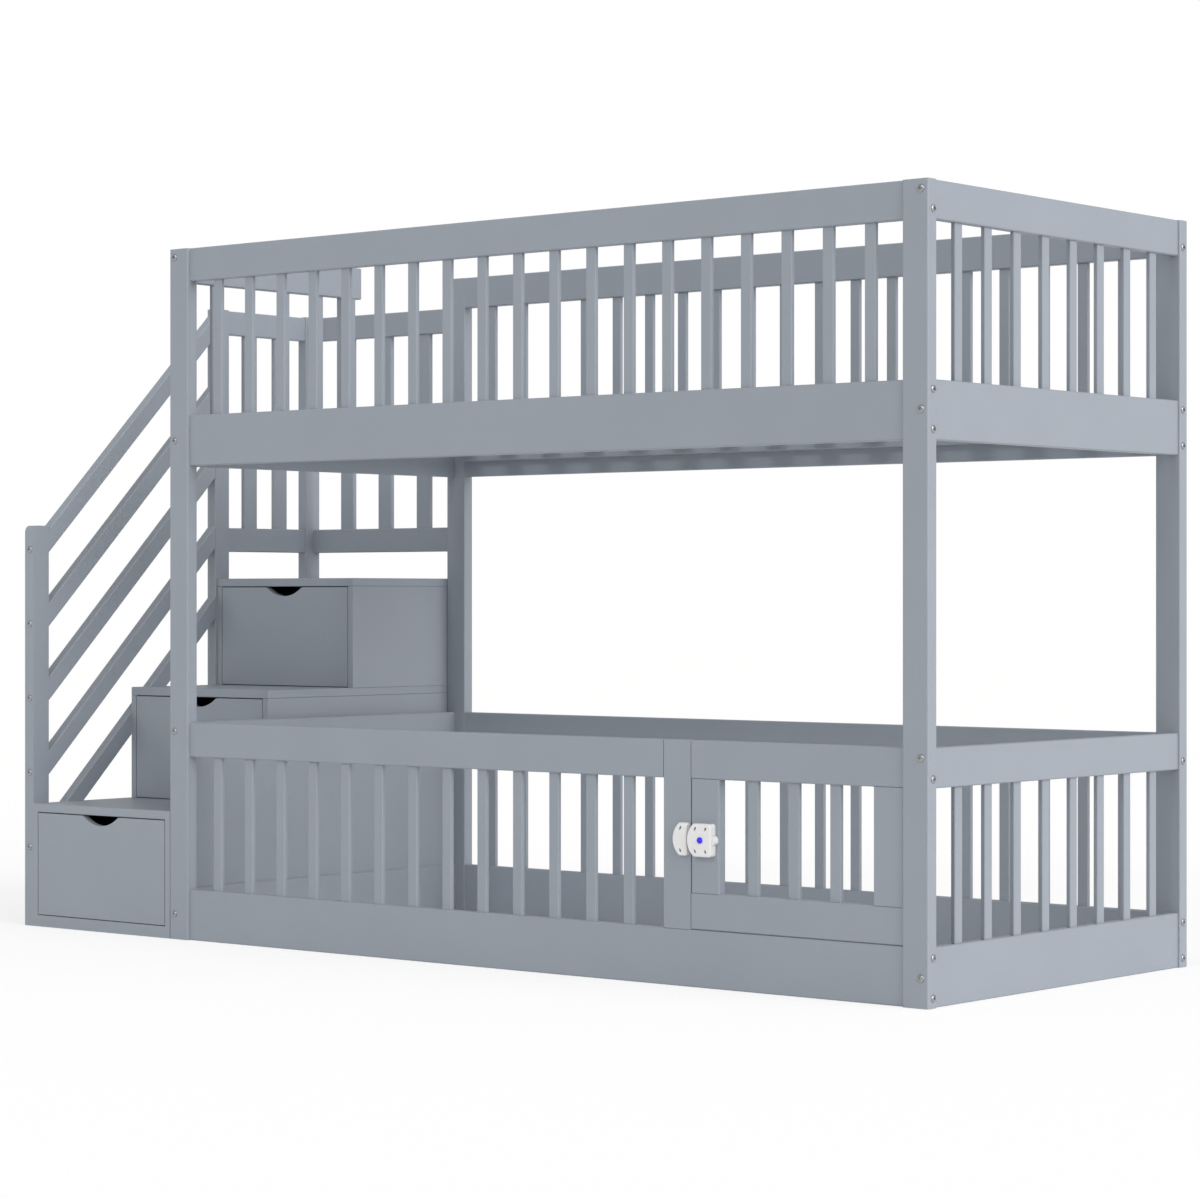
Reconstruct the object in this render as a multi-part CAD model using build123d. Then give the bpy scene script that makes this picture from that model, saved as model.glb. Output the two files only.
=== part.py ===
from build123d import *
import math
import os

# Bunk bed with storage stairs. Millimetres, +Z up, X along the bed with the stairs at the -X end,
# and the long guarded front at -Y. The origin lies on the floor, under the middle of the whole unit.

# Bed frame
bed_length = 2086
bed_width = 970
bed_height = 1575
post_width = 59
post_depth = 30
post_edge = 3

# Rails between the posts
rail_thickness = 22
rail_edge = 2
long_rail_setback = 7
end_rail_setback = 5
bottom_rail_height = 115
lower_guard_height = 494
lower_guard_rail_height = 77
bed_rail_bottom = 1080
bed_rail_height = 115
top_rail_height = 75

# Spindles of the guards
spindle_width = 26
spindle_thickness = 10
spindle_edge = 1.5
long_spindle_count = 19
long_spindle_end_gap = 71
end_spindle_count = 8
end_spindle_end_gap = 78

# Panel that closes the lower guard beside the stairs
guard_panel_thickness = 10

# Half guard beside the stair entry
entry_width = 337
half_guard_spindle_count = 4
half_guard_first_gap = 84
half_guard_spindle_pitch = 113
half_guard_stile_width = 48
half_guard_stile_thickness = 18
half_guard_stile_inset = 17

# Mattress support of the upper bunk
slat_count = 15
slat_pitch = 136.5
slat_width = 58
slat_thickness = 18
slat_end_gap = 3
ledger_depth = 21
ledger_height = 20
ledger_top_below_rail_top = 58

# Gate in the lower front guard
gate_width = 514
gate_thickness = 22
gate_gap = 2
gate_bottom_gap = 1
gate_stile_width = 70
gate_rail_height_top = 77
gate_rail_height_bottom = 73
gate_spindle_count = 3
gate_spindle_pitch = 100
gate_spindle_shift = -7
latch_post_width = 70

# Butt hinges on the inner side of the gate
hinge_height = 60
hinge_from_gate_end = 50
hinge_leaf_width = 30
hinge_leaf_thickness = 2
hinge_knuckle_radius = 4
hinge_knuckle_gap = 0.4
hinge_seat_gap = 0.3
hinge_pin_radius = 1.7
hinge_pin_clearance = 0.05
hinge_pin_head_radius = 3
hinge_pin_head_height = 1.5

# Push-button lock of the gate
lock_height = 66
lock_centre_height = 296
lock_body_width = 60
lock_body_depth = 17
lock_arc_rise = 17
lock_corner_radius = 6
lock_face_edge = 1.5
strike_width = 37
strike_depth = 10
strike_front_wall = 3
strike_corner_chamfer = 4
strike_hollow_rise = 2
strike_hollow_height = 56
strike_from_post_edge = 2
lock_side_gap = 1
bolt_tongue_height = 12
bolt_tongue_depth = 6
bolt_running_gap = 0.25
bolt_tip_reach = 2
bolt_travel = 7
bolt_knob_height = 20
bolt_knob_depth = 11
bolt_knob_proud = 7.5
pocket_spare = 1.5
button_radius = 6.3
button_clearance = 0.1
button_proud = 4
button_rim_edge = 1.5
button_travel = 2
button_length = 9
button_from_lock_edge = 34
button_spring_thickness = 0.4
button_spring_width = 5
button_spring_inset = 0.8
screw_slot_length = 8.5
screw_slot_width = 4.5
screw_slot_depth = 4
screw_slot_angle = 65
screw_slot_from_middle = 22.5
strike_slots_from_left = 20
body_slots_from_left = 21
body_slot_spacing = 26

# Stair unit
carcass_width = 471
panel_thickness = 16
tread_thickness = 20
tread_edge = 1.5
first_tread_top = 291
second_tread_top = 561
third_tread_top = 827
second_riser_setback = 313
third_riser_setback = 602
plinth_height = 27
bottom_panel_thickness = 12
back_panel_thickness = 5

# Posts, sloping rails and guards of the stairs
stair_post_thickness = 30
newel_width = 48
newel_height = 951
newel_top_radius = 15
middle_post_width = 49
middle_post_setback = 595
stair_post_height = 1504
corner_post_width = 50
corner_post_back_inset = 2
handrail_count = 5
handrail_thickness = 26
handrail_width = 40
handrail_angle = 45
highest_handrail_drop = 65.2
handrail_spacing = 176.7
stair_guard_rail_height = 60
stair_guard_rail_thickness = 22
stair_guard_top = 1502
stair_guard_bottom = 895
stair_guard_slat_width = 45
stair_guard_slat_thickness = 13
side_guard_slat_count = 2
side_guard_slat_end_gap = 61
back_guard_inset = 4
back_guard_slat_count = 3
back_guard_slat_first_gap = 94
back_guard_slat_last_gap = 67

# Drawers
drawer_gap = 2
drawer_front_thickness = 16
drawer_side_thickness = 12
drawer_bottom_thickness = 5
drawer_bottom_lift = 10
drawer_box_length = 320
drawer_box_height = 160
drawer_box_lift = 18
drawer_box_side_gap = 3
runner_height = 14
runner_grip = 5
runner_clearance = 1
runner_setback = 6
notch_width = 122
notch_depth = 22
notch_shoulder_radius = 12

# Bolts through the posts
bolt_head_radius = 7.5
bolt_head_height = 3
bolt_head_slope = 45
bolt_head_sides = 12
paired_bolt_spacing = 76
long_rail_bolt_rise = 18
end_rail_bolt_drop = 19
newel_bolt_drop = 20

# Places along X, from the stairs to the far end of the bed
unit_length = bed_length + carcass_width + stair_post_thickness
bed_right = (unit_length - bolt_head_height) / 2
bed_left = bed_right - bed_length
inner_right = bed_right - post_width
inner_left = bed_left + post_width
bed_middle = (bed_left + bed_right) / 2
carcass_left = bed_left - carcass_width
stair_left = carcass_left - stair_post_thickness
carcass_inner_left = carcass_left + panel_thickness
carcass_inner_right = bed_left - panel_thickness

# Places along Y, from the front to the back
lock_reach = lock_body_depth + button_proud - long_rail_setback
bed_front = (lock_reach - bed_width - bolt_head_height) / 2
bed_back = bed_front + bed_width
inner_front = bed_front + post_depth
inner_back = bed_back - post_depth
front_rail_face = bed_front + long_rail_setback
back_rail_face = bed_back - long_rail_setback
carcass_depth = bed_width
carcass_back = bed_front + carcass_depth
middle_post_front = bed_front + middle_post_setback
middle_post_back = middle_post_front + middle_post_width
corner_post_back = carcass_back - corner_post_back_inset
corner_post_front = corner_post_back - corner_post_width

# Heights
lower_guard_rail_bottom = lower_guard_height - lower_guard_rail_height
bed_rail_top = bed_rail_bottom + bed_rail_height
top_rail_bottom = bed_height - top_rail_height
ledger_top = bed_rail_top - ledger_top_below_rail_top
tread_tops = [first_tread_top, second_tread_top, third_tread_top]
tread_fronts = [bed_front, bed_front + second_riser_setback, bed_front + third_riser_setback]
handrail_rise = (handrail_count - 1) * handrail_spacing
handrail_first_height = newel_height - highest_handrail_drop - handrail_rise


def board(x, y, z, along=None, edge=0):
    """A straight board between three pairs of limits, with the edges that run along it eased."""
    size = [high - low for low, high in (x, y, z)]
    middle = [(low + high) / 2 for low, high in (x, y, z)]
    solid = Pos(*middle) * Box(*size)
    if edge:
        solid = chamfer(solid.edges().filter_by(along), edge)
    return solid


def rounded_board(x, y, z, along, radius):
    """A board whose long edges are rounded."""
    solid = board(x, y, z)
    return fillet(solid.edges().filter_by(along), radius)


def spread(low, high, count, first_gap, last_gap, width):
    """Lower edges of evenly spaced pieces of one width between two faces."""
    first = low + first_gap
    last = high - last_gap - width
    return [first + (last - first) * i / (count - 1) for i in range(count)]


# Bolts
def bolt_head():
    """The low head of a bolt, standing on the XY plane, with few sides because there are many."""
    outline = RegularPolygon(bolt_head_radius, bolt_head_sides)
    return extrude(outline, amount=bolt_head_height, taper=bolt_head_slope)


def long_rail_bolt_heights():
    """Heights of the bolts that hold the long rails, driven along X through a post."""
    bed_rail_middle = bed_rail_bottom + bed_rail_height / 2
    bottom_rail_middle = bottom_rail_height / 2
    return [
        top_rail_bottom + long_rail_bolt_rise,
        bed_rail_middle + paired_bolt_spacing / 2,
        bed_rail_middle - paired_bolt_spacing / 2,
        lower_guard_rail_bottom + long_rail_bolt_rise,
        bottom_rail_middle + paired_bolt_spacing / 2,
        bottom_rail_middle - paired_bolt_spacing / 2,
    ]


def end_rail_bolt_heights():
    """Heights of the bolts that hold the end rails, driven along Y through a post."""
    return [
        bed_height - end_rail_bolt_drop,
        bed_rail_bottom + bed_rail_height / 2,
        lower_guard_height - end_rail_bolt_drop,
        bottom_rail_height / 2,
    ]


def handrail_heights():
    """Heights of the lower edges of the sloping rails where they leave the newel post."""
    return [handrail_first_height + i * handrail_spacing for i in range(handrail_count)]


def long_rail_bolt_places():
    """Places of the bolts whose heads sit on the right-hand end faces of the posts."""
    depths = [front_rail_face + rail_thickness / 2, back_rail_face - rail_thickness / 2]
    turn = Rot(0, 90, 0)
    return [Pos(bed_right, y, z) * turn for y in depths for z in long_rail_bolt_heights()]


def end_rail_bolt_places(back):
    """Places of the bolts whose heads sit on the front, or the back, faces of the posts."""
    inset = end_rail_setback + rail_thickness / 2
    face = bed_back if back else bed_front
    turn = Rot(-90, 0, 0) if back else Rot(90, 0, 0)
    heights = end_rail_bolt_heights()
    places = [Pos(bed_right - inset, face, z) * turn for z in heights]
    left_heights = heights[1:] if back else heights
    return places + [Pos(bed_left + inset, face, z) * turn for z in left_heights]


def newel_bolt_places():
    """Places of the bolts driven through the newel post into the sloping rails."""
    x = stair_left + stair_post_thickness - handrail_thickness / 2
    rise = handrail_width / math.cos(math.radians(handrail_angle)) / 2 - newel_bolt_drop
    turn = Rot(90, 0, 0)
    return [Pos(x, bed_front, z + rise) * turn for z in handrail_heights()]


# Bed posts
def bed_post(left, back):
    """One corner post, its wide faces to the front and back."""
    x = (bed_left, inner_left) if left else (inner_right, bed_right)
    y = (inner_back, bed_back) if back else (bed_front, inner_front)
    return rounded_board(x, y, (0, bed_height), Axis.Z, post_edge)


# Bed rails
def long_rail(back, bottom, height, right=None):
    """A rail along the bed, between the posts or up to the place given."""
    x = (inner_left, inner_right if right is None else right)
    y = (back_rail_face - rail_thickness, back_rail_face)
    if not back:
        y = (front_rail_face, front_rail_face + rail_thickness)
    return board(x, y, (bottom, bottom + height), Axis.X, rail_edge)


def end_rail(left, bottom, height, back=None):
    """A rail across the end of the bed, between the posts or up to the place given."""
    x = (bed_right - end_rail_setback - rail_thickness, bed_right - end_rail_setback)
    if left:
        x = (bed_left + end_rail_setback, bed_left + end_rail_setback + rail_thickness)
    y = (inner_front, inner_back if back is None else back)
    return board(x, y, (bottom, bottom + height), Axis.Y, rail_edge)


# Guards
def long_spindles(back, bottom, top, right=None):
    """The row of spindles in a long guard, as far as the place given."""
    middle = back_rail_face - rail_thickness / 2 if back else front_rail_face + rail_thickness / 2
    y = (middle - spindle_thickness / 2, middle + spindle_thickness / 2)
    gap = long_spindle_end_gap
    lefts = spread(inner_left, inner_right, long_spindle_count, gap, gap, spindle_width)
    limit = inner_right if right is None else right
    return Compound([
        board((left, left + spindle_width), y, (bottom, top), Axis.Z, spindle_edge)
        for left in lefts
        if left + spindle_width < limit
    ])


def end_spindles(bottom, top):
    """The row of spindles in a guard at the right-hand end."""
    middle = bed_right - end_rail_setback - rail_thickness / 2
    x = (middle - spindle_thickness / 2, middle + spindle_thickness / 2)
    gap = end_spindle_end_gap
    fronts = spread(inner_front, inner_back, end_spindle_count, gap, gap, spindle_width)
    return Compound([
        board(x, (y, y + spindle_width), (bottom, top), Axis.Z, spindle_edge) for y in fronts
    ])


def left_guard_panel():
    """The closed panel of the lower guard at the end where the stairs stand."""
    middle = bed_left + end_rail_setback + rail_thickness / 2
    x = (middle - guard_panel_thickness / 2, middle + guard_panel_thickness / 2)
    return board(x, (inner_front, inner_back), (bottom_rail_height, lower_guard_rail_bottom))


def half_guard_back():
    """Where the half guard ends, at the entry from the stairs."""
    return inner_back - entry_width


def half_guard_uprights():
    """Spindles and the wider end stile of the half guard over the left-hand end."""
    middle = bed_left + end_rail_setback + rail_thickness / 2
    x = (middle - spindle_thickness / 2, middle + spindle_thickness / 2)
    z = (bed_rail_top, top_rail_bottom)
    fronts = [
        inner_front + half_guard_first_gap + i * half_guard_spindle_pitch
        for i in range(half_guard_spindle_count)
    ]
    pieces = [board(x, (y, y + spindle_width), z, Axis.Z, spindle_edge) for y in fronts]
    stile_back = half_guard_back() - half_guard_stile_inset
    stile_x = (middle - half_guard_stile_thickness / 2, middle + half_guard_stile_thickness / 2)
    stile_y = (stile_back - half_guard_stile_width, stile_back)
    return Compound(pieces + [board(stile_x, stile_y, z, Axis.Z, spindle_edge)])


# Mattress support
def slat_ledgers():
    """Strips on the inner faces of the long bed rails, which carry the slats."""
    front_face = front_rail_face + rail_thickness
    back_face = back_rail_face - rail_thickness
    z = (ledger_top - ledger_height, ledger_top)
    x = (inner_left, inner_right)
    return Compound([
        board(x, (front_face, front_face + ledger_depth), z, Axis.X, rail_edge),
        board(x, (back_face - ledger_depth, back_face), z, Axis.X, rail_edge),
    ])


def slats():
    """Slats across the bed, resting on both ledgers."""
    front_face = front_rail_face + rail_thickness + slat_end_gap
    back_face = back_rail_face - rail_thickness - slat_end_gap
    first = bed_middle - slat_pitch * (slat_count - 1) / 2
    middles = [first + i * slat_pitch for i in range(slat_count)]
    z = (ledger_top, ledger_top + slat_thickness)
    return Compound([
        board((x - slat_width / 2, x + slat_width / 2), (front_face, back_face), z, Axis.Y, rail_edge)
        for x in middles
    ])


# Gate
gate_right = inner_right - gate_gap
gate_left = gate_right - gate_width
gate_bottom = bottom_rail_height + gate_bottom_gap
gate_front = front_rail_face
gate_back = gate_front + gate_thickness
latch_post_right = gate_left - gate_gap
latch_post_left = latch_post_right - latch_post_width


def latch_post():
    """The fixed stile that the gate closes against."""
    x = (latch_post_left, latch_post_right)
    y = (front_rail_face, front_rail_face + rail_thickness)
    return board(x, y, (bottom_rail_height, lower_guard_height), Axis.Z, rail_edge)


def gate_rails():
    """Top and bottom rails of the gate, over its full width."""
    x = (gate_left, gate_right)
    y = (gate_front, gate_back)
    top = (lower_guard_height - gate_rail_height_top, lower_guard_height)
    bottom = (gate_bottom, gate_bottom + gate_rail_height_bottom)
    return Compound([board(x, y, z, Axis.X, rail_edge) for z in (top, bottom)])


def gate_upright_heights():
    """Heights between the rails of the gate."""
    return (gate_bottom + gate_rail_height_bottom, lower_guard_height - gate_rail_height_top)


def gate_stiles():
    """Wide uprights at both ends of the gate."""
    y = (gate_front, gate_back)
    z = gate_upright_heights()
    lefts = [gate_left, gate_right - gate_stile_width]
    return Compound([board((x, x + gate_stile_width), y, z, Axis.Z, rail_edge) for x in lefts])


def gate_spindles():
    """Thin uprights of the gate."""
    middle = gate_front + rail_thickness / 2
    y = (middle - spindle_thickness / 2, middle + spindle_thickness / 2)
    z = gate_upright_heights()
    centre = (gate_left + gate_right) / 2 + gate_spindle_shift
    first = centre - gate_spindle_pitch * (gate_spindle_count - 1) / 2
    lefts = [first + i * gate_spindle_pitch - spindle_width / 2 for i in range(gate_spindle_count)]
    return Compound([board((x, x + spindle_width), y, z, Axis.Z, spindle_edge) for x in lefts])


# Hinges
hinge_x = inner_right - gate_gap / 2
hinge_y = inner_front + hinge_seat_gap + hinge_knuckle_radius
hinge_middles = [
    gate_bottom + hinge_from_gate_end + hinge_height / 2,
    lower_guard_height - hinge_from_gate_end - hinge_height / 2,
]
knuckle_height = hinge_height / 3


def knuckle(low, high):
    """One rolled knuckle with the bore for the pin."""
    tube = Cylinder(hinge_knuckle_radius, high - low)
    bore = Cylinder(hinge_pin_radius + hinge_pin_clearance, high - low)
    return Pos(hinge_x, hinge_y, (low + high) / 2) * (tube - bore)


def post_leaf(middle):
    """The leaf on the post, with the outer two knuckles."""
    low = middle - hinge_height / 2
    high = middle + hinge_height / 2
    x = (hinge_x + gate_gap / 2, hinge_x + hinge_leaf_width)
    leaf = board(x, (inner_front, inner_front + hinge_leaf_thickness), (low, high))
    end_height = knuckle_height - hinge_knuckle_gap
    web_x = (hinge_x + hinge_knuckle_radius - hinge_leaf_thickness, hinge_x + hinge_knuckle_radius)
    clear = hinge_knuckle_radius + hinge_seat_gap
    leaf -= Pos(hinge_x, hinge_y, middle) * Cylinder(clear, knuckle_height + 2 * hinge_knuckle_gap)
    for z in ((low, low + end_height), (high - end_height, high)):
        web = board(web_x, (inner_front, hinge_y), z)
        leaf = leaf + web - bore_space(z) + knuckle(*z)
    return leaf


def gate_leaf(middle):
    """The leaf on the gate, cranked up to the middle knuckle."""
    low = middle - hinge_height / 2
    high = middle + hinge_height / 2
    x = (hinge_x - hinge_leaf_width, hinge_x - hinge_knuckle_radius)
    leaf = board(x, (gate_back, gate_back + hinge_leaf_thickness), (low, high))
    z = (middle - knuckle_height / 2, middle + knuckle_height / 2)
    web_x = (hinge_x - hinge_knuckle_radius, hinge_x - hinge_knuckle_radius + hinge_leaf_thickness)
    web = board(web_x, (gate_back, hinge_y), z)
    return leaf + web - bore_space(z) + knuckle(*z)


def bore_space(z):
    """The round space that a knuckle fills, cut from what joins it."""
    height = z[1] - z[0]
    return Pos(hinge_x, hinge_y, (z[0] + z[1]) / 2) * Cylinder(hinge_knuckle_radius, height)


def hinge_pin(middle):
    """A headed pin, hanging by its head on the top knuckle."""
    shank = Cylinder(hinge_pin_radius, hinge_height, align=(Align.CENTER, Align.CENTER, Align.MAX))
    head = Cylinder(
        hinge_pin_head_radius, hinge_pin_head_height, align=(Align.CENTER, Align.CENTER, Align.MIN)
    )
    return Pos(hinge_x, hinge_y, middle + hinge_height / 2) * (shank + head)


# Lock
lock_left = gate_left + lock_side_gap
lock_right = lock_left + lock_body_width
lock_front = gate_front - lock_body_depth
strike_right = latch_post_right - strike_from_post_edge
strike_left = strike_right - strike_width
strike_front = front_rail_face - strike_depth
half_lock = lock_height / 2
bolt_y = (gate_front - bolt_running_gap - bolt_tongue_depth, gate_front - bolt_running_gap)
strike_hollow = strike_right - strike_hollow_rise
button_x = lock_left + button_from_lock_edge
lock_plane = Plane((0, 0, lock_centre_height), x_dir=(1, 0, 0), z_dir=(0, -1, 0))


def raised(sketch, back, depth):
    """A flat outline of the lock made into a solid that stands forward from a Y place."""
    return Pos(0, back, 0) * extrude(lock_plane * sketch, amount=depth)


def lock_box(x, half_height, back, front):
    """A rectangular space in the lock, centred on its height."""
    z = (lock_centre_height - half_height, lock_centre_height + half_height)
    return board(x, (front, back), z)


def screw_slots(places, front):
    """Slots for the fixing screws, cut back from the front face."""
    slot = SlotOverall(screw_slot_length, screw_slot_width)
    sketches = [Pos(x, z) * Rot(0, 0, angle) * slot for x, z, angle in places]
    return [raised(sketch, front + screw_slot_depth, screw_slot_depth) for sketch in sketches]


def eased_front(solid, front):
    """The solid with the outline of its front face eased."""
    face = solid.faces().filter_by(Axis.Y).sort_by(Axis.Y)[0]
    return chamfer(face.outer_wire().edges(), lock_face_edge)


def strike_plate():
    """The part of the lock on the fixed stile, hollowed towards the gate, with the bolt's pocket."""
    arc_x = strike_left + lock_arc_rise
    outline = Polyline(
        (arc_x, half_lock),
        (strike_right - strike_corner_chamfer, half_lock),
        (strike_right, half_lock - strike_corner_chamfer),
        (strike_right, strike_hollow_height / 2),
    )
    half_hollow = strike_hollow_height / 2
    hollow = ThreePointArc(
        (strike_right, half_hollow), (strike_hollow, 0), (strike_right, -half_hollow)
    )
    lower = mirror(outline, Plane.XZ)
    back_arc = ThreePointArc((arc_x, half_lock), (strike_left, 0), (arc_x, -half_lock))
    sketch = make_face([*outline.edges(), hollow, *lower.edges(), back_arc])
    solid = raised(sketch, front_rail_face, strike_depth)
    solid = eased_front(solid, strike_front)
    slot_x = strike_left + strike_slots_from_left
    places = [
        (slot_x, screw_slot_from_middle, screw_slot_angle),
        (slot_x, -screw_slot_from_middle, -screw_slot_angle),
    ]
    pocket_left = lock_left - bolt_tip_reach - bolt_travel - pocket_spare
    pocket = lock_box(
        (pocket_left, strike_right),
        bolt_tongue_height / 2 + 2 * bolt_running_gap,
        front_rail_face,
        strike_front + strike_front_wall,
    )
    return solid - screw_slots(places, strike_front) - pocket


def lock_body():
    """The housing on the gate, with the bolt's channel, the knob's recess and the button's bore."""
    arc_x = lock_left + lock_arc_rise
    outline = [
        Line((arc_x, half_lock), (lock_right, half_lock)),
        Line((lock_right, half_lock), (lock_right, -half_lock)),
        Line((lock_right, -half_lock), (arc_x, -half_lock)),
        ThreePointArc((arc_x, -half_lock), (lock_left, 0), (arc_x, half_lock)),
    ]
    sketch = make_face(outline)
    corners = [corner for corner in sketch.vertices() if corner.X > lock_right - lock_corner_radius]
    sketch = fillet(corners, lock_corner_radius)
    solid = eased_front(raised(sketch, gate_front, lock_body_depth), lock_front)
    gap = bolt_running_gap
    channel = lock_box(
        (lock_left, lock_right), bolt_tongue_height / 2 + gap, gate_front, bolt_y[0] - gap
    )
    knob_space = lock_box(
        (lock_right - bolt_travel - gap, lock_right),
        bolt_knob_height / 2 + gap,
        gate_front,
        gate_front - bolt_knob_depth - 2 * gap,
    )
    bore = button_bore(button_radius + button_clearance, button_length - button_proud + button_travel)
    first_slot = lock_left + body_slots_from_left
    places = [
        (x, side * screw_slot_from_middle, side * screw_slot_angle)
        for x in (first_slot, first_slot + body_slot_spacing)
        for side in (1, -1)
    ]
    return solid - channel - knob_space - bore - screw_slots(places, lock_front)


def button_bore(radius, depth):
    """The round space behind the front of the lock in which the button travels."""
    return raised(Pos(button_x, 0) * Circle(radius), lock_front + depth, depth)


def latch_bolt():
    """The sliding bolt: a flat tongue at one end and the rounded knob that pushes it at the other."""
    tongue = lock_box(
        (lock_left - bolt_tip_reach, lock_right), bolt_tongue_height / 2, bolt_y[1], bolt_y[0]
    )
    half = bolt_knob_height / 2
    outline = [
        Line((lock_right, half), (lock_right, -half)),
        ThreePointArc((lock_right, -half), (lock_right + bolt_knob_proud, 0), (lock_right, half)),
    ]
    return tongue + raised(make_face(outline), bolt_y[1], bolt_knob_depth)


def release_button():
    """The round button with its eased rim."""
    back = lock_front + button_length - button_proud
    button = raised(Pos(button_x, 0) * Circle(button_radius), back, button_length)
    rim = button.edges().filter_by(GeomType.CIRCLE).sort_by(Axis.Y)[0]
    return chamfer(rim, button_rim_edge)


def button_spring():
    """The bowed leaf spring behind the button."""
    floor = lock_front + button_length - button_proud + button_travel
    half = button_radius - button_spring_inset
    thickness = button_spring_thickness
    bow = button_travel - thickness
    strip = make_face(
        [
            ThreePointArc((-half, 0), (0, bow), (half, 0)),
            Line((half, 0), (half, thickness)),
            ThreePointArc((half, thickness), (0, bow + thickness), (-half, thickness)),
            Line((-half, thickness), (-half, 0)),
        ]
    )
    placed = Plane((button_x, floor, lock_centre_height), x_dir=(1, 0, 0), z_dir=(0, 0, 1))
    return extrude(placed * mirror(strip, Plane.XZ), amount=button_spring_width / 2, both=True)


# Stair carcass
def step_panel(left):
    """The stepped lower side of the stairs, up to the second tread."""
    back = carcass_back
    outline = Polyline(
        (tread_fronts[0], 0),
        (tread_fronts[0], tread_tops[0]),
        (tread_fronts[1], tread_tops[0]),
        (tread_fronts[1], tread_tops[1] - tread_thickness),
        (back, tread_tops[1] - tread_thickness),
        (back, 0),
        close=True,
    )
    x = carcass_left if left else carcass_inner_right
    return extrude(Plane.YZ.offset(x) * make_face(outline), amount=panel_thickness)


def upper_panel(left):
    """The upper side of the stairs, between the second and third treads."""
    x = carcass_left if left else carcass_inner_right
    z = (tread_tops[1], tread_tops[2] - tread_thickness)
    return board((x, x + panel_thickness), (tread_fronts[2], carcass_back), z)


def side_panels(left):
    """Both panels of one side of the stairs."""
    return Compound([step_panel(left), upper_panel(left)])


def first_tread():
    """The lowest tread, housed between the sides and carried on to the back as a shelf."""
    x = (carcass_inner_left, carcass_inner_right)
    y = (tread_fronts[0], carcass_back - back_panel_thickness)
    solid = board(x, y, (tread_tops[0] - tread_thickness, tread_tops[0]))
    nose = solid.edges().filter_by(Axis.X).group_by(Axis.Y)[0]
    return chamfer(nose, tread_edge)


def full_tread(step):
    """A tread that lies over both sides of the stairs."""
    x = (carcass_left, bed_left)
    y = (tread_fronts[step], carcass_back)
    z = (tread_tops[step] - tread_thickness, tread_tops[step])
    solid = board(x, y, z)
    rim = solid.edges().filter_by(Axis.Z, reverse=True)
    return chamfer(rim, tread_edge)


def stair_base():
    """The plinth under the lowest drawer and the bottom panel behind it."""
    x = (carcass_inner_left, carcass_inner_right)
    plinth_back = bed_front + panel_thickness
    panel = (plinth_height - bottom_panel_thickness, plinth_height)
    return [
        board(x, (bed_front, plinth_back), (0, plinth_height)),
        board(x, (plinth_back, carcass_back - back_panel_thickness), panel),
    ]


def stair_back_panels():
    """Thin panels that close the back of the stairs."""
    x = (carcass_inner_left, carcass_inner_right)
    y = (carcass_back - back_panel_thickness, carcass_back)
    lower = (0, tread_tops[1] - tread_thickness)
    upper = (tread_tops[1], tread_tops[2] - tread_thickness)
    return [board(x, y, lower), board(x, y, upper)]


# Posts and rails of the stairs
stair_post_x = (stair_left, carcass_left)


def newel_post():
    """The short post at the foot of the stairs, with a rounded top front corner."""
    y = (bed_front, bed_front + newel_width)
    solid = board(stair_post_x, y, (0, newel_height))
    corner = solid.edges().filter_by(Axis.X).group_by(Axis.Z)[-1].sort_by(Axis.Y)[0]
    return fillet(corner, newel_top_radius)


def tall_stair_post(front, back):
    """A post that carries the guards at the top of the stairs."""
    return board(stair_post_x, (front, back), (0, stair_post_height), Axis.Z, rail_edge)


def stair_handrails():
    """Sloping rails between the newel post and the middle post."""
    slope = math.radians(handrail_angle)
    start = bed_front + newel_width
    end = middle_post_front
    rise = (end - start) * math.tan(slope)
    upright = handrail_width / math.cos(slope)
    along = Axis((0, 0, 0), (0, math.cos(slope), math.sin(slope)))
    plane = Plane.YZ.offset(carcass_left)
    rails = []
    for z in handrail_heights():
        outline = Polyline(
            (start, z), (end, z + rise), (end, z + rise + upright), (start, z + upright), close=True
        )
        rail = extrude(plane * make_face(outline), amount=-handrail_thickness)
        rails.append(chamfer(rail.edges().filter_by(along), rail_edge))
    return Compound(rails)


def guard_rail_levels():
    """Heights of the top and bottom rails of the stair guards."""
    return [
        (stair_guard_top - stair_guard_rail_height, stair_guard_top),
        (stair_guard_bottom, stair_guard_bottom + stair_guard_rail_height),
    ]


side_guard_middle = (stair_left + carcass_left) / 2
back_guard_middle = carcass_back - back_guard_inset - stair_guard_rail_thickness / 2


def stair_guard_rails():
    """Level rails of the guards beside and behind the top of the stairs."""
    half = stair_guard_rail_thickness / 2
    side_x = (side_guard_middle - half, side_guard_middle + half)
    back_y = (back_guard_middle - half, back_guard_middle + half)
    pieces = []
    for z in guard_rail_levels():
        pieces.append(board(side_x, (middle_post_back, corner_post_front), z, Axis.Y, rail_edge))
        pieces.append(board((carcass_left, bed_left), back_y, z, Axis.X, rail_edge))
    return Compound(pieces)


def stair_guard_slats():
    """Wide flat uprights of the stair guards."""
    half = stair_guard_slat_thickness / 2
    width = stair_guard_slat_width
    top_rail, bottom_rail = guard_rail_levels()
    z = (bottom_rail[1], top_rail[0])
    side_x = (side_guard_middle - half, side_guard_middle + half)
    back_y = (back_guard_middle - half, back_guard_middle + half)
    gap = side_guard_slat_end_gap
    fronts = spread(middle_post_back, corner_post_front, side_guard_slat_count, gap, gap, width)
    lefts = spread(
        carcass_left,
        bed_left,
        back_guard_slat_count,
        back_guard_slat_first_gap,
        back_guard_slat_last_gap,
        width,
    )
    side = [board(side_x, (y, y + width), z, Axis.Z, spindle_edge) for y in fronts]
    back = [board((x, x + width), back_y, z, Axis.Z, spindle_edge) for x in lefts]
    return Compound(side + back)


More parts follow.
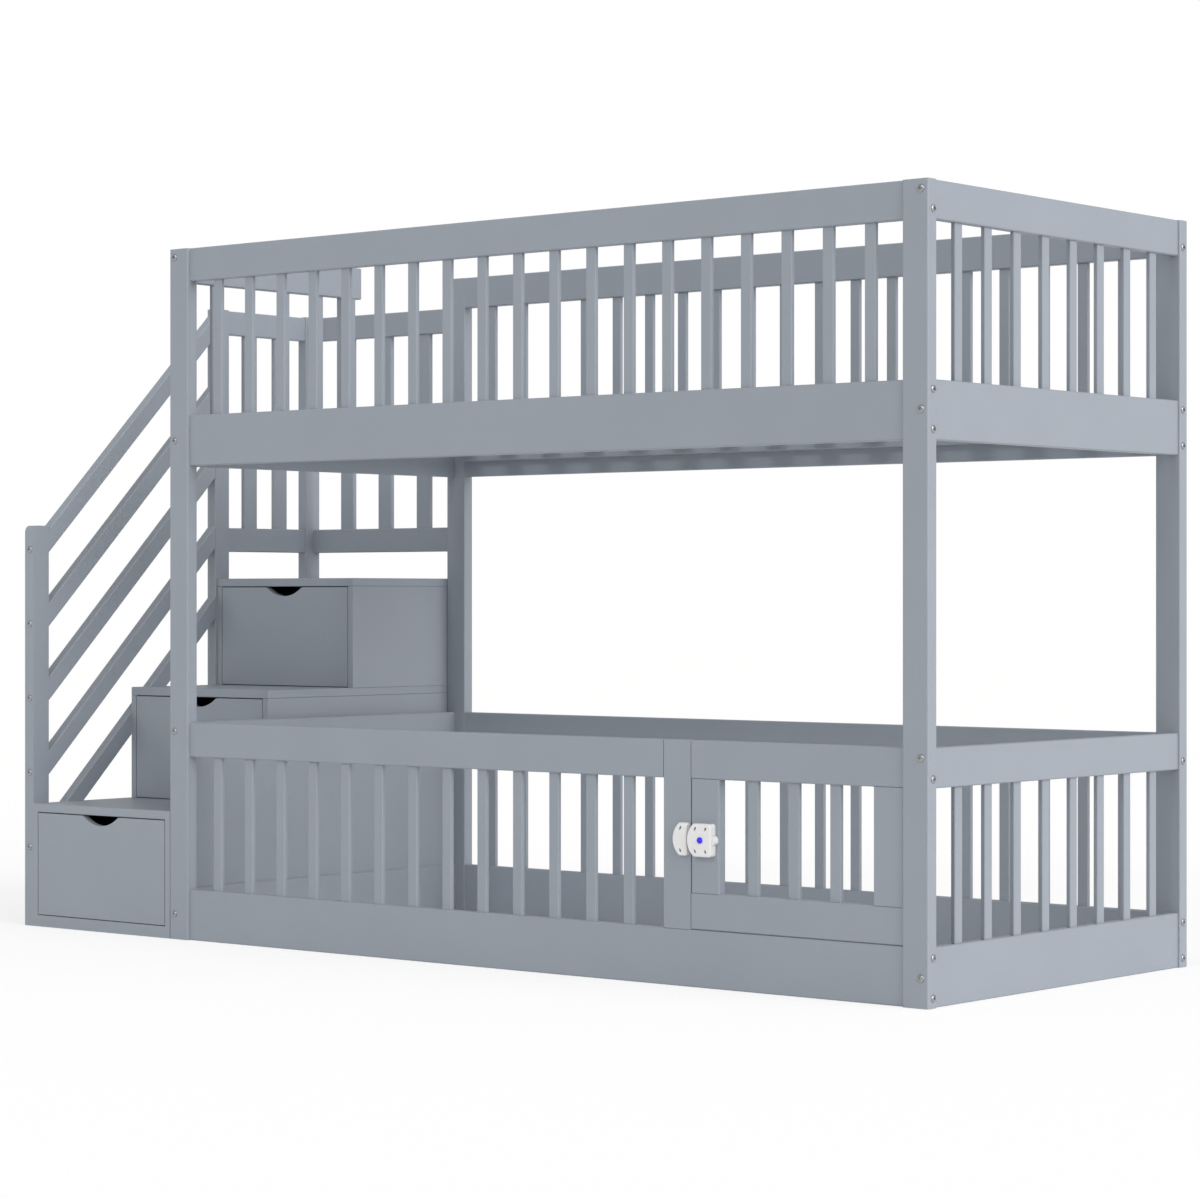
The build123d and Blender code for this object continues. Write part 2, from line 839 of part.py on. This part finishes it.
# Drawers
drawer_left = carcass_inner_left + drawer_gap
drawer_right = carcass_inner_right - drawer_gap
drawer_floors = [plinth_height, tread_tops[0], tread_tops[1]]
box_left = carcass_inner_left + drawer_box_side_gap
box_right = carcass_inner_right - drawer_box_side_gap


def drawer_front(step):
    """An inset front with a finger notch in the middle of its top edge."""
    low = drawer_floors[step] + drawer_gap
    high = tread_tops[step] - tread_thickness - drawer_gap
    front = tread_fronts[step]
    middle = (drawer_left + drawer_right) / 2
    half = notch_width / 2
    outline = [
        Line((drawer_left, high), (middle - half, high)),
        ThreePointArc((middle - half, high), (middle, high - notch_depth), (middle + half, high)),
        Line((middle + half, high), (drawer_right, high)),
        Line((drawer_right, high), (drawer_right, low)),
        Line((drawer_right, low), (drawer_left, low)),
        Line((drawer_left, low), (drawer_left, high)),
    ]
    sketch = make_face(outline)
    shoulders = [corner for corner in sketch.vertices() if abs(corner.X - middle) < half + drawer_gap]
    sketch = fillet(shoulders, notch_shoulder_radius)
    plane = Plane((0, front, 0), x_dir=(1, 0, 0), z_dir=(0, -1, 0))
    return extrude(plane * sketch, amount=-drawer_front_thickness)


def drawer_side(step, left):
    """A side of the drawer box, grooved for its runner."""
    low = drawer_floors[step] + drawer_gap + drawer_box_lift
    high = low + drawer_box_height
    groove_low = (low + high - runner_height) / 2 - runner_clearance
    groove_high = (low + high + runner_height) / 2 + runner_clearance
    outer = box_left if left else box_right
    inward = 1 if left else -1
    inner = outer + inward * drawer_side_thickness
    groove = outer + inward * (runner_grip + runner_clearance)
    outline = Polyline(
        (outer, low),
        (inner, low),
        (inner, high),
        (outer, high),
        (outer, groove_high),
        (groove, groove_high),
        (groove, groove_low),
        (outer, groove_low),
        close=True,
    )
    start = tread_fronts[step] + drawer_front_thickness
    plane = Plane((0, start, 0), x_dir=(1, 0, 0), z_dir=(0, -1, 0))
    return extrude(plane * make_face(outline), amount=-drawer_box_length)


def drawer_box(step):
    """The two sides, the back and the bottom of a drawer."""
    low = drawer_floors[step] + drawer_gap + drawer_box_lift
    start = tread_fronts[step] + drawer_front_thickness
    end = start + drawer_box_length
    x = (box_left + drawer_side_thickness, box_right - drawer_side_thickness)
    back = board(x, (end - drawer_side_thickness, end), (low, low + drawer_box_height))
    bottom_low = low + drawer_bottom_lift
    bottom_z = (bottom_low, bottom_low + drawer_bottom_thickness)
    bottom = board(x, (start, end - drawer_side_thickness), bottom_z)
    return Compound([drawer_side(step, True), drawer_side(step, False), back, bottom])


def drawer_runners():
    """Strips on the inside of the carcass that the grooved drawer sides slide on."""
    reach = drawer_box_side_gap + runner_grip
    pieces = []
    for step in range(len(tread_tops)):
        middle = drawer_floors[step] + drawer_gap + drawer_box_lift + drawer_box_height / 2
        z = (middle - runner_height / 2, middle + runner_height / 2)
        start = tread_fronts[step] + drawer_front_thickness + runner_setback
        y = (start, start + drawer_box_length)
        pieces.append(board((carcass_inner_left, carcass_inner_left + reach), y, z))
        pieces.append(board((carcass_inner_right - reach, carcass_inner_right), y, z))
    return Compound(pieces)


def frame_bolts():
    """The heads of all the bolts that show on the posts, seated on the wood."""
    places = long_rail_bolt_places() + newel_bolt_places()
    places += end_rail_bolt_places(False) + end_rail_bolt_places(True)
    return Compound([place * bolt_head() for place in places])


lower_guard = (bottom_rail_height, lower_guard_rail_bottom)
upper_guard = (bed_rail_top, top_rail_bottom)

nodes = {
    "front_left_post": bed_post(True, False),
    "front_right_post": bed_post(False, False),
    "back_left_post": bed_post(True, True),
    "back_right_post": bed_post(False, True),
    "front_top_rail": long_rail(False, top_rail_bottom, top_rail_height),
    "front_bed_rail": long_rail(False, bed_rail_bottom, bed_rail_height),
    "front_lower_rail": long_rail(
        False, lower_guard_rail_bottom, lower_guard_rail_height, latch_post_left
    ),
    "front_bottom_rail": long_rail(False, 0, bottom_rail_height),
    "back_top_rail": long_rail(True, top_rail_bottom, top_rail_height),
    "back_bed_rail": long_rail(True, bed_rail_bottom, bed_rail_height),
    "back_lower_rail": long_rail(True, lower_guard_rail_bottom, lower_guard_rail_height),
    "back_bottom_rail": long_rail(True, 0, bottom_rail_height),
    "right_top_rail": end_rail(False, top_rail_bottom, top_rail_height),
    "right_bed_rail": end_rail(False, bed_rail_bottom, bed_rail_height),
    "right_lower_rail": end_rail(False, lower_guard_rail_bottom, lower_guard_rail_height),
    "right_bottom_rail": end_rail(False, 0, bottom_rail_height),
    "left_top_rail": end_rail(True, top_rail_bottom, top_rail_height, half_guard_back()),
    "left_bed_rail": end_rail(True, bed_rail_bottom, bed_rail_height),
    "left_lower_rail": end_rail(True, lower_guard_rail_bottom, lower_guard_rail_height),
    "left_bottom_rail": end_rail(True, 0, bottom_rail_height),
    "front_upper_spindles": long_spindles(False, *upper_guard),
    "front_lower_spindles": long_spindles(False, *lower_guard, latch_post_left),
    "back_spindles": Compound(
        [
            spindle
            for guard in (upper_guard, lower_guard)
            for spindle in long_spindles(True, *guard).solids()
        ]
    ),
    "right_upper_spindles": end_spindles(*upper_guard),
    "right_lower_spindles": end_spindles(*lower_guard),
    "left_guard_panel": left_guard_panel(),
    "half_guard_uprights": half_guard_uprights(),
    "slat_ledgers": slat_ledgers(),
    "mattress_slats": slats(),
    "latch_post": latch_post(),
    "gate_rails": gate_rails(),
    "gate_stiles": gate_stiles(),
    "gate_spindles": gate_spindles(),
    "hinge_post_leaves": Compound(
        [make(z) for z in hinge_middles for make in (post_leaf, hinge_pin)]
    ),
    "hinge_gate_leaves": Compound([gate_leaf(z) for z in hinge_middles]),
    "strike_plate": strike_plate(),
    "lock_body": lock_body(),
    "latch_bolt": latch_bolt(),
    "release_button": release_button(),
    "button_spring": button_spring(),
    "stair_left_panels": side_panels(True),
    "stair_right_panels": side_panels(False),
    "first_tread": first_tread(),
    "second_tread": full_tread(1),
    "third_tread": full_tread(2),
    "stair_base_and_back": Compound(stair_base() + stair_back_panels()),
    "newel_post": newel_post(),
    "middle_stair_post": tall_stair_post(middle_post_front, middle_post_back),
    "corner_stair_post": tall_stair_post(corner_post_front, corner_post_back),
    "stair_handrails": stair_handrails(),
    "stair_guard_rails": stair_guard_rails(),
    "stair_guard_slats": stair_guard_slats(),
    "drawer_runners": drawer_runners(),
    "frame_bolts": frame_bolts(),
}
for step, name in enumerate(("low", "middle", "high")):
    nodes[f"{name}_drawer_front"] = drawer_front(step)
    nodes[f"{name}_drawer_box"] = drawer_box(step)

os.makedirs("parts", exist_ok=True)
for name, shape in nodes.items():
    export_step(shape, f"parts/{name}.step")
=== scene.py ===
import math

import bmesh
import bpy
from mathutils import Matrix, Vector


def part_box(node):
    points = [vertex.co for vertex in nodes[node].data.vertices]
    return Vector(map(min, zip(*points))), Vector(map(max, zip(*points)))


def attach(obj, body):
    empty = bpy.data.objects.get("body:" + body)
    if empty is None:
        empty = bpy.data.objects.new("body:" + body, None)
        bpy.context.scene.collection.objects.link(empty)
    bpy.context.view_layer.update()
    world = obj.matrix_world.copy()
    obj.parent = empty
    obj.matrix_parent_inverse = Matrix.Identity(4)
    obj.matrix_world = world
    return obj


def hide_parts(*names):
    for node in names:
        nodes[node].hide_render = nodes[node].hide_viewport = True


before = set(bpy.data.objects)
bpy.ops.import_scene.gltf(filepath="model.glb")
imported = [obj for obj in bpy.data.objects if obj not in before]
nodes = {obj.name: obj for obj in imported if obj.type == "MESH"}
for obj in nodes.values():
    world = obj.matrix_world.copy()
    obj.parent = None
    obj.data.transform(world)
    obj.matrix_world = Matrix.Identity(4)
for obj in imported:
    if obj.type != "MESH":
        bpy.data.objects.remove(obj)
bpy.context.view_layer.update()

# Bunk bed with storage stairs: materials, fasteners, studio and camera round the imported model. Metres.

# Camera: a portrait lens far off to the right of the bed's long side, level with its middle
camera_place = (4.9086, -5.8021, 0.7808)
camera_turn = (90, 0, 39.73)
camera_lens = 101.54
camera_sensor = 36
camera_shift_y = -0.0016

# Light levels
ambient_level = 0.54
side_lamp_level = 2.4
side_lamp_tint = (1.0, 0.975, 0.965)
front_lamp_level = 0.64
side_lamp_toward = (-1, 0.05, -0.52)
front_lamp_toward = (0, 1, -0.62)
side_lamp_spread = 60
front_lamp_spread = 18

# Studio floor: its reach, its drop below the object and how bright it is to light and to the camera
floor_reach = 40
floor_drop = 0.0006
floor_bounce = 0.94
floor_seen = 0.28
floor_glow = 0.72

# Paint texture: cells of noise per metre, depths of bump in metres and the stretch along the grain
grain_scale = 420
growth_scale = 38
peel_scale = 620
cloud_scale = 5.5
board_peel_scale = 520
board_cloud_scale = 4.5
grain_stretch = 0.04
growth_depth = 0.00006
grain_depth = 0.000012
peel_depth = 0.000006
board_peel_depth = 0.000015
paint_specular = 0.4

# Paint and other colours, linear
paint_colour = (0.292, 0.324, 0.367, 1)
paint_dark = (0.281, 0.312, 0.354, 1)
steel_colour = (0.42, 0.43, 0.44, 1)
nickel_colour = (0.60, 0.59, 0.57, 1)
lock_white = (0.78, 0.78, 0.775, 1)
button_blue = (0.025, 0.015, 0.78, 1)
# Dark grey of the lock's slot screws: partly the screws' steel, partly painted shade of the slots
screw_grey_painted_shade = (0.22, 0.22, 0.225, 1)


# Node helpers
def add_node(tree, kind, **settings):
    """A node with its input sockets set by name, or linked where the value is another socket."""
    made = tree.nodes.new(kind)
    for name, value in settings.items():
        if name in made.inputs:
            socket = made.inputs[name]
        else:
            socket = made.inputs.get(name.replace("_", " "))
        if socket is None:
            setattr(made, name, value)
        elif isinstance(value, bpy.types.NodeSocket):
            tree.links.new(value, socket)
        else:
            socket.default_value = value
    return made


def start_material(name):
    """An empty material with a Principled shader joined to its output."""
    material = bpy.data.materials.new(name)
    material.use_nodes = True
    tree = material.node_tree
    tree.nodes.clear()
    shader = tree.nodes.new("ShaderNodeBsdfPrincipled")
    output = tree.nodes.new("ShaderNodeOutputMaterial")
    tree.links.new(shader.outputs["BSDF"], output.inputs["Surface"])
    return material, tree, shader


def noise(tree, place, scale, detail=3.0):
    """Fractal noise at a scale in cells per metre."""
    made = add_node(tree, "ShaderNodeTexNoise", Vector=place, Scale=scale, Detail=detail)
    return made.outputs["Fac"]


def between(tree, value, low, high):
    """A value from 0.3 to 0.7, where noise mostly lies, spread between two numbers."""
    made = add_node(tree, "ShaderNodeMapRange", Value=value)
    made.inputs["From Min"].default_value = 0.3
    made.inputs["From Max"].default_value = 0.7
    made.inputs["To Min"].default_value = low
    made.inputs["To Max"].default_value = high
    return made.outputs["Result"]


def blend_colours(tree, amount, first, second):
    """A colour between two, by an amount from 0 to 1."""
    made = tree.nodes.new("ShaderNodeMix")
    made.data_type = "RGBA"
    tree.links.new(amount, made.inputs["Factor"])
    for socket, colour in ((made.inputs[6], first), (made.inputs[7], second)):
        if isinstance(colour, bpy.types.NodeSocket):
            tree.links.new(colour, socket)
        else:
            socket.default_value = colour
    return made.outputs[2]


def bump(tree, height, depth, below=None):
    """A bump of a depth in metres, over another one."""
    made = add_node(tree, "ShaderNodeBump", Height=height, Distance=depth)
    made.inputs["Strength"].default_value = 1.0
    if below is not None:
        tree.links.new(below, made.inputs["Normal"])
    return made.outputs["Normal"]


# Materials
def painted_wood(name, along, slope=0.0):
    """Satin grey paint over solid wood, whose grain runs along one axis, turned about X by a slope."""
    material, tree, shader = start_material(name)
    place = tree.nodes.new("ShaderNodeTexCoord").outputs["Object"]
    turned = add_node(tree, "ShaderNodeMapping", Vector=place)
    turned.inputs["Rotation"].default_value = (slope, 0, 0)
    mapped = add_node(tree, "ShaderNodeMapping", Vector=turned.outputs["Vector"])
    stretch = [1.0, 1.0, 1.0]
    stretch[along] = grain_stretch
    mapped.inputs["Scale"].default_value = stretch
    grain_place = mapped.outputs["Vector"]
    grain = noise(tree, grain_place, grain_scale, 5.0)
    growth = noise(tree, grain_place, growth_scale, 3.0)
    peel = noise(tree, place, peel_scale, 2.0)
    cloud = noise(tree, place, cloud_scale, 3.0)
    tone = between(tree, cloud, 0.0, 1.0)
    base = blend_colours(tree, tone, paint_dark, paint_colour)
    streak = between(tree, growth, 0.0, 0.22)
    base = blend_colours(tree, streak, base, paint_dark)
    tree.links.new(base, shader.inputs["Base Color"])
    gloss = between(tree, grain, 0.40, 0.50)
    tree.links.new(gloss, shader.inputs["Roughness"])
    shader.inputs["Specular IOR Level"].default_value = paint_specular
    soft = bump(tree, growth, growth_depth)
    fine = bump(tree, grain, grain_depth, soft)
    top = bump(tree, peel, peel_depth, fine)
    tree.links.new(top, shader.inputs["Normal"])
    return material


def painted_board(name):
    """The same paint rolled on flat board, with a faint peel and no grain."""
    material, tree, shader = start_material(name)
    place = tree.nodes.new("ShaderNodeTexCoord").outputs["Object"]
    peel = noise(tree, place, board_peel_scale, 3.0)
    cloud = noise(tree, place, board_cloud_scale, 3.0)
    tone = between(tree, cloud, 0.0, 1.0)
    tree.links.new(blend_colours(tree, tone, paint_dark, paint_colour), shader.inputs["Base Color"])
    tree.links.new(between(tree, peel, 0.40, 0.48), shader.inputs["Roughness"])
    shader.inputs["Specular IOR Level"].default_value = paint_specular
    tree.links.new(bump(tree, peel, board_peel_depth), shader.inputs["Normal"])
    return material


def plated_steel(name, colour, roughness):
    """Zinc or nickel plated steel with fine turning marks and a little uneven sheen."""
    material, tree, shader = start_material(name)
    place = tree.nodes.new("ShaderNodeTexCoord").outputs["Object"]
    cloud = noise(tree, place, 260, 3.0)
    scratch = noise(tree, place, 2600, 2.0)
    darker = tuple(part * 0.82 for part in colour[:3]) + (1,)
    tree.links.new(blend_colours(tree, cloud, darker, colour), shader.inputs["Base Color"])
    tree.links.new(between(tree, scratch, roughness - 0.06, roughness + 0.08), shader.inputs["Roughness"])
    shader.inputs["Metallic"].default_value = 1.0
    tree.links.new(bump(tree, scratch, 0.00001), shader.inputs["Normal"])
    return material


def moulded_plastic(name, colour, roughness):
    """Moulded plastic with a fine spark texture and a slight change of tone."""
    material, tree, shader = start_material(name)
    place = tree.nodes.new("ShaderNodeTexCoord").outputs["Object"]
    cloud = noise(tree, place, 90, 2.0)
    spark = noise(tree, place, 3800, 2.0)
    darker = tuple(part * 0.96 for part in colour[:3]) + (1,)
    tree.links.new(blend_colours(tree, cloud, darker, colour), shader.inputs["Base Color"])
    tree.links.new(between(tree, spark, roughness - 0.04, roughness + 0.05), shader.inputs["Roughness"])
    shader.inputs["Coat Weight"].default_value = 0.2
    shader.inputs["Coat Roughness"].default_value = 0.25
    tree.links.new(bump(tree, spark, 0.000008), shader.inputs["Normal"])
    return material


painted = {
    "x": painted_wood("Paint_Grain_X", 0),
    "y": painted_wood("Paint_Grain_Y", 1),
    "z": painted_wood("Paint_Grain_Z", 2),
    "slope": painted_wood("Paint_Grain_Slope", 1, -math.pi / 4),
    "board": painted_board("Paint_Board"),
}
bolt_steel = plated_steel("Zinc_Plated_Steel", steel_colour, 0.28)
hinge_steel = plated_steel("Satin_Nickel", nickel_colour, 0.36)
lock_plastic = moulded_plastic("White_Lock_Plastic", lock_white, 0.34)
button_plastic = moulded_plastic("Blue_Button_Plastic", button_blue, 0.3)
# Steel for the lock's slot screws, made dark as painted shade of their slots
screw_steel_painted_shade = plated_steel("Screw_Steel_Painted_Slot_Shade", screw_grey_painted_shade, 0.4)

along_x = [
    "front_top_rail", "front_bed_rail", "front_lower_rail", "front_bottom_rail",
    "back_top_rail", "back_bed_rail", "back_lower_rail", "back_bottom_rail",
    "slat_ledgers", "gate_rails", "first_tread", "second_tread", "third_tread",
    "low_drawer_front", "middle_drawer_front", "high_drawer_front",
]
along_y = [
    "right_top_rail", "right_bed_rail", "right_lower_rail", "right_bottom_rail",
    "left_top_rail", "left_bed_rail", "left_lower_rail", "left_bottom_rail",
    "mattress_slats", "drawer_runners",
]
along_z = [
    "front_left_post", "front_right_post", "back_left_post", "back_right_post",
    "front_upper_spindles", "front_lower_spindles", "back_spindles", "left_guard_panel",
    "right_upper_spindles", "right_lower_spindles", "half_guard_uprights", "latch_post",
    "gate_stiles", "gate_spindles", "newel_post", "middle_stair_post", "corner_stair_post",
    "stair_guard_slats",
]
along_slope = ["stair_handrails"]
plain_boards = [
    "stair_left_panels", "stair_right_panels", "stair_base_and_back", "stair_guard_rails",
    "low_drawer_box", "middle_drawer_box", "high_drawer_box",
]
finishes = {
    "hinge_post_leaves": hinge_steel,
    "hinge_gate_leaves": hinge_steel,
    "frame_bolts": bolt_steel,
    "button_spring": hinge_steel,
    "strike_plate": lock_plastic,
    "lock_body": lock_plastic,
    "latch_bolt": lock_plastic,
    "release_button": button_plastic,
}
grain_groups = {
    "x": along_x, "y": along_y, "z": along_z, "slope": along_slope, "board": plain_boards,
}
for key, names in grain_groups.items():
    for name in names:
        finishes[name] = painted[key]
for name, node in nodes.items():
    for place in node.material_slots:
        place.material = finishes[name]


# Mesh helpers
def add_piece(name, mesh_data, body, material, sharp_angle=30):
    """A finished mesh as a piece that rides on a body."""
    mesh = bpy.data.meshes.new(name)
    mesh_data.normal_update()
    mesh_data.to_mesh(mesh)
    mesh_data.free()
    mesh.materials.append(material)
    for polygon in mesh.polygons:
        polygon.use_smooth = True
    mesh.set_sharp_from_angle(angle=math.radians(sharp_angle))
    piece = bpy.data.objects.new(name, mesh)
    bpy.context.scene.collection.objects.link(piece)
    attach(piece, body)
    return piece


def ring(mesh_data, place, radius_at, height, count):
    """A closed ring of vertices, whose radius may change with the angle."""
    made = []
    for i in range(count):
        angle = 2 * math.pi * i / count
        radius = radius_at(angle)
        point = Vector((radius * math.cos(angle), radius * math.sin(angle), height))
        made.append(mesh_data.verts.new(place @ point))
    return made


def join_rings(mesh_data, lower, upper):
    """Faces between two rings of equal count."""
    count = len(lower)
    for i in range(count):
        j = (i + 1) % count
        mesh_data.faces.new((lower[i], lower[j], upper[j], upper[i]))


def hexagon_radius(across):
    """Radius of a hexagon outline, by angle, from its size across the flats."""
    def radius_at(angle):
        turn = (angle + math.pi / 6) % (math.pi / 3) - math.pi / 6
        return across / 2 / math.cos(turn)
    return radius_at


def cross_radius(radius, arm):
    """Radius of a cross outline, by angle, from its reach and the width of its arms."""
    def radius_at(angle):
        turn = abs((angle + math.pi / 4) % (math.pi / 2) - math.pi / 4)
        reach = radius / math.cos(turn) if turn < math.atan(arm / 2 / radius) else 0
        side = arm / 2 / max(math.sin(turn), 0.001)
        return reach if reach else min(side, radius)
    return radius_at


def turned_head(mesh_data, place, profile, recess_at, recess_depth, count=48):
    """A round head from a list of radius and height, with a recess of the given outline in its top."""
    rings = [ring(mesh_data, place, lambda angle, r=radius: r, height, count) for radius, height in profile]
    top = profile[-1][1]
    rings.append(ring(mesh_data, place, recess_at, top, count))
    rings.append(ring(mesh_data, place, recess_at, top - recess_depth, count))
    for lower, upper in zip(rings, rings[1:]):
        join_rings(mesh_data, lower, upper)
    mesh_data.faces.new(rings[-1])
    mesh_data.faces.new(list(reversed(rings[0])))


def dome(radius, height, land, rim, steps=7):
    """The profile of a low domed head, from its seat over a short upright rim to a flat land."""
    made = [(radius, 0), (radius, rim)]
    for i in range(1, steps + 1):
        turn = math.pi / 2 * i / steps
        made.append((land + (radius - land) * math.cos(turn), rim + (height - rim) * math.sin(turn)))
    return made


def facing(point, direction):
    """A place whose own Z points in a direction."""
    turn = Vector(direction).to_track_quat("Z", "Y").to_matrix().to_4x4()
    return Matrix.Translation(point) @ turn


# Bolts of the bed and the newel post, one head on each CAD head
bolt_group_reach = 0.017
bolt_socket = 0.005
bolt_socket_depth = 0.0019
bolt_land_share = 0.7
bolt_rim_share = 0.25


def separate_heads():
    """The low and high corners of each head in the CAD node of bolts."""
    groups = []
    for vertex in nodes["frame_bolts"].data.vertices:
        for group in groups:
            if (group[0] - vertex.co).length < bolt_group_reach:
                group.append(vertex.co)
                break
        else:
            groups.append([vertex.co])
    for group in groups:
        low = Vector([min(point[i] for point in group) for i in range(3)])
        high = Vector([max(point[i] for point in group) for i in range(3)])
        yield low, high


def bolt_heads():
    """Domed socket heads, each seated on its post."""
    mesh_data = bmesh.new()
    for low, high in separate_heads():
        size = high - low
        middle = (low + high) / 2
        axis = min(range(3), key=lambda i: size[i])
        outward = Vector((0, 0, 0))
        outward[axis] = 1 if middle[axis] > 0 else -1
        seat = middle - outward * size[axis] / 2
        radius = max(size) / 2
        height = size[axis]
        profile = dome(radius, height, bolt_socket * bolt_land_share, height * bolt_rim_share)
        recess = hexagon_radius(bolt_socket)
        turned_head(mesh_data, facing(seat, outward), profile, recess, bolt_socket_depth)
    piece = add_piece("bolt_heads", mesh_data, "frame", bolt_steel)
    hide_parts("frame_bolts")


bolt_heads()


# Screws of the lock, one in the foot of each slot, and of the hinges, two in each leaf. The lock's screws
# are real parts, but their dark grey is partly painted shade of the slots they sit in.
slot_screw_radius = 0.00215
slot_screw_height = 0.0015
slot_floor_depth = 0.004
slot_from_middle = 0.0225
strike_slots = (0.020,)
lock_slots = (0.021, 0.047)
leaf_screw_radius = 0.0034
leaf_screw_height = 0.0009
leaf_screw_from_middle = 0.019
leaf_thickness = 0.002
leaf_half_height = 0.030
leaf_screw_from_edge = 0.011
screw_land_share = 0.5
screw_rim_share = 0.3
screw_arm_share = 0.26
screw_recess_share = 0.6
screw_sides = 32


def screws(name, body, slot, material, places, outward, radius, height):
    """Pan heads with a cross recess, as one piece."""
    mesh_data = bmesh.new()
    profile = dome(radius, height, radius * screw_land_share, height * screw_rim_share)
    recess = cross_radius(radius * screw_land_share, radius * screw_arm_share)
    depth = height * screw_recess_share
    for point in places:
        turned_head(mesh_data, facing(point, outward), profile, recess, depth, screw_sides)
    return add_piece(name, mesh_data, body, material)


def slot_screws(name, node_name, body, slots):
    """The screws in the slots of one piece of the lock."""
    low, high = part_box(node_name)
    middle = (low[2] + high[2]) / 2
    floor = low[1] + slot_floor_depth
    places = [
        Vector((low[0] + x, floor, middle + side * slot_from_middle))
        for x in slots
        for side in (-1, 1)
    ]
    size = slot_screw_radius, slot_screw_height
    screws(name, body, "bolt_steel", screw_steel_painted_shade, places, (0, -1, 0), *size)


def leaf_screws(name, node_name, body, edge, inward):
    """The screws in the leaves of both hinges, whose free edges lie at one end of the node."""
    low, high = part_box(node_name)
    x = (low[0] if edge == "low" else high[0]) + inward * leaf_screw_from_edge
    face = low[1] + leaf_thickness
    places = [
        Vector((x, face, middle + side * leaf_screw_from_middle))
        for middle in leaf_middles()
        for side in (-1, 1)
    ]
    size = leaf_screw_radius, leaf_screw_height
    screws(name, body, "hinge_steel", hinge_steel, places, (0, 1, 0), *size)


def leaf_middles():
    """Heights of the middles of the two hinges."""
    low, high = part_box("hinge_gate_leaves")
    return low[2] + leaf_half_height, high[2] - leaf_half_height


slot_screws("strike_screws", "strike_plate", "frame", strike_slots)
slot_screws("lock_screws", "lock_body", "gate", lock_slots)
leaf_screws("hinge_post_screws", "hinge_post_leaves", "frame", "high", -1)
leaf_screws("hinge_gate_screws", "hinge_gate_leaves", "gate", "low", 1)


# Studio
def grey(level):
    """A neutral colour."""
    return (level, level, level, 1)


def studio_floor():
    """A pale floor that takes the soft shadow and shows white to the camera where nothing shades it."""
    mesh = bpy.data.meshes.new("Studio_Floor")
    corners = [(-1, -1), (1, -1), (1, 1), (-1, 1)]
    places = [(x * floor_reach, y * floor_reach, -floor_drop) for x, y in corners]
    mesh.from_pydata(places, [], [(0, 1, 2, 3)])
    floor = bpy.data.objects.new("Studio_Floor", mesh)
    bpy.context.scene.collection.objects.link(floor)
    material = bpy.data.materials.new("Studio_Floor")
    material.use_nodes = True
    tree = material.node_tree
    tree.nodes.clear()
    path = tree.nodes.new("ShaderNodeLightPath")
    bounce = add_node(tree, "ShaderNodeBsdfDiffuse", Color=grey(floor_bounce))
    seen = add_node(tree, "ShaderNodeBsdfDiffuse", Color=grey(floor_seen))
    glow = add_node(tree, "ShaderNodeEmission", Color=grey(1), Strength=floor_glow)
    both = tree.nodes.new("ShaderNodeAddShader")
    tree.links.new(seen.outputs[0], both.inputs[0])
    tree.links.new(glow.outputs[0], both.inputs[1])
    choose = tree.nodes.new("ShaderNodeMixShader")
    tree.links.new(path.outputs["Is Camera Ray"], choose.inputs[0])
    tree.links.new(bounce.outputs[0], choose.inputs[1])
    tree.links.new(both.outputs[0], choose.inputs[2])
    output = tree.nodes.new("ShaderNodeOutputMaterial")
    tree.links.new(choose.outputs[0], output.inputs["Surface"])
    mesh.materials.append(material)


def studio_world():
    """Plain ambient light, shown as white to the camera and in reflections."""
    world = bpy.data.worlds.new("Studio_World")
    bpy.context.scene.world = world
    world.use_nodes = True
    tree = world.node_tree
    tree.nodes.clear()
    path = tree.nodes.new("ShaderNodeLightPath")
    shown = tree.nodes.new("ShaderNodeMath")
    shown.operation = "MAXIMUM"
    tree.links.new(path.outputs["Is Camera Ray"], shown.inputs[0])
    tree.links.new(path.outputs["Is Transmission Ray"], shown.inputs[1])
    ambient = add_node(tree, "ShaderNodeBackground", Color=grey(1), Strength=ambient_level)
    white = add_node(tree, "ShaderNodeBackground", Color=grey(1), Strength=1.0)
    choose = tree.nodes.new("ShaderNodeMixShader")
    tree.links.new(shown.outputs[0], choose.inputs[0])
    tree.links.new(ambient.outputs[0], choose.inputs[1])
    tree.links.new(white.outputs[0], choose.inputs[2])
    output = tree.nodes.new("ShaderNodeOutputWorld")
    tree.links.new(choose.outputs[0], output.inputs["Surface"])


def soft_sun(name, toward, level, spread, tint=(1, 1, 1)):
    """A far lamp that shines along one direction, with shadows as soft as its spread in degrees."""
    lamp = bpy.data.lights.new(name, "SUN")
    lamp.energy = level
    lamp.color = tint
    lamp.angle = math.radians(spread)
    holder = bpy.data.objects.new(name, lamp)
    holder.rotation_mode = "QUATERNION"
    holder.rotation_quaternion = Vector(toward).to_track_quat("-Z", "Y")
    bpy.context.scene.collection.objects.link(holder)


def studio_camera():
    """The camera, level with the middle of the bed."""
    camera = bpy.data.cameras.new("Camera")
    camera.sensor_width = camera_sensor
    camera.lens = camera_lens
    camera.shift_y = camera_shift_y
    holder = bpy.data.objects.new("Camera", camera)
    holder.location = camera_place
    holder.rotation_euler = [math.radians(angle) for angle in camera_turn]
    bpy.context.scene.collection.objects.link(holder)
    bpy.context.scene.camera = holder


studio_floor()
studio_world()
soft_sun("Side_Lamp", side_lamp_toward, side_lamp_level, side_lamp_spread, side_lamp_tint)
soft_sun("Front_Lamp", front_lamp_toward, front_lamp_level, front_lamp_spread)
studio_camera()
bpy.context.scene.view_settings.view_transform = "Standard"
